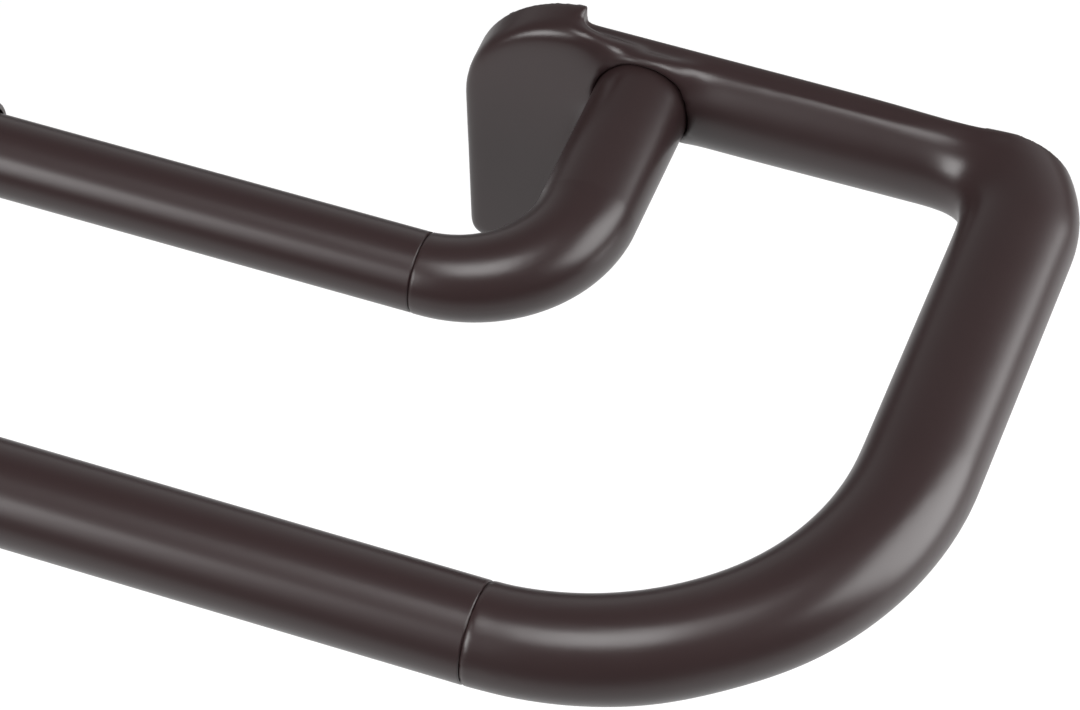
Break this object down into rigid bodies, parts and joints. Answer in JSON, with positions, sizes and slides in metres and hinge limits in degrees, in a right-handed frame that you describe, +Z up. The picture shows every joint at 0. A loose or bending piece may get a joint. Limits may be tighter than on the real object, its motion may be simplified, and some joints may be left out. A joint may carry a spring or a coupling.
{
  "type": "double curtain pole",
  "caption": "Telescopic curtain pole: a front rod that wraps round to the wall, a thinner rear rod on its own small elbows, and a wall bracket with a shield-shaped plate at each end.",
  "frame": {"origin": "midway between the two screw holes of the left wall plate, on the wall plane", "axes": "+X along the rods to the right, +Y into the wall, +Z up"},
  "size_m": [0.785, 0.1245, 0.0547],
  "materials": {
    "bronze_casting": "satin dark bronze lacquer",
    "bronze_tube": "satin dark bronze lacquer",
    "zinc_steel": "zinc plated",
    "black_steel": "black oxide",
    "nylon": "moulded"
  },
  "bodies": {
    "fixed_end": {"left_end_bracket": "bronze_casting", "left_rear_elbow": "bronze_casting", "left_wall_plate": "zinc_steel", "left_plate_lock_screw": "black_steel", "left_elbow_screw": "zinc_steel", "left_front_tube_grub": "black_steel", "left_rear_tube_grub": "black_steel", "front_outer_tube": "bronze_tube", "rear_outer_tube": "bronze_tube", "front_mouth_bush": "nylon", "rear_mouth_bush": "nylon"},
    "sliding_end": {"right_end_bracket": "bronze_casting", "right_rear_elbow": "bronze_casting", "right_wall_plate": "zinc_steel", "right_plate_lock_screw": "black_steel", "right_elbow_screw": "zinc_steel", "right_front_tube_grub": "black_steel", "right_rear_tube_grub": "black_steel", "front_inner_tube": "bronze_tube", "rear_inner_tube": "bronze_tube", "front_glide_plug": "nylon", "rear_glide_plug": "nylon"}
  },
  "joints": [
    {"name": "telescope", "type": "slide", "parent": "fixed_end", "child": "sliding_end", "axis": [1, 0, 0], "range_m": [-0.0735, 0.341]}
  ]
}
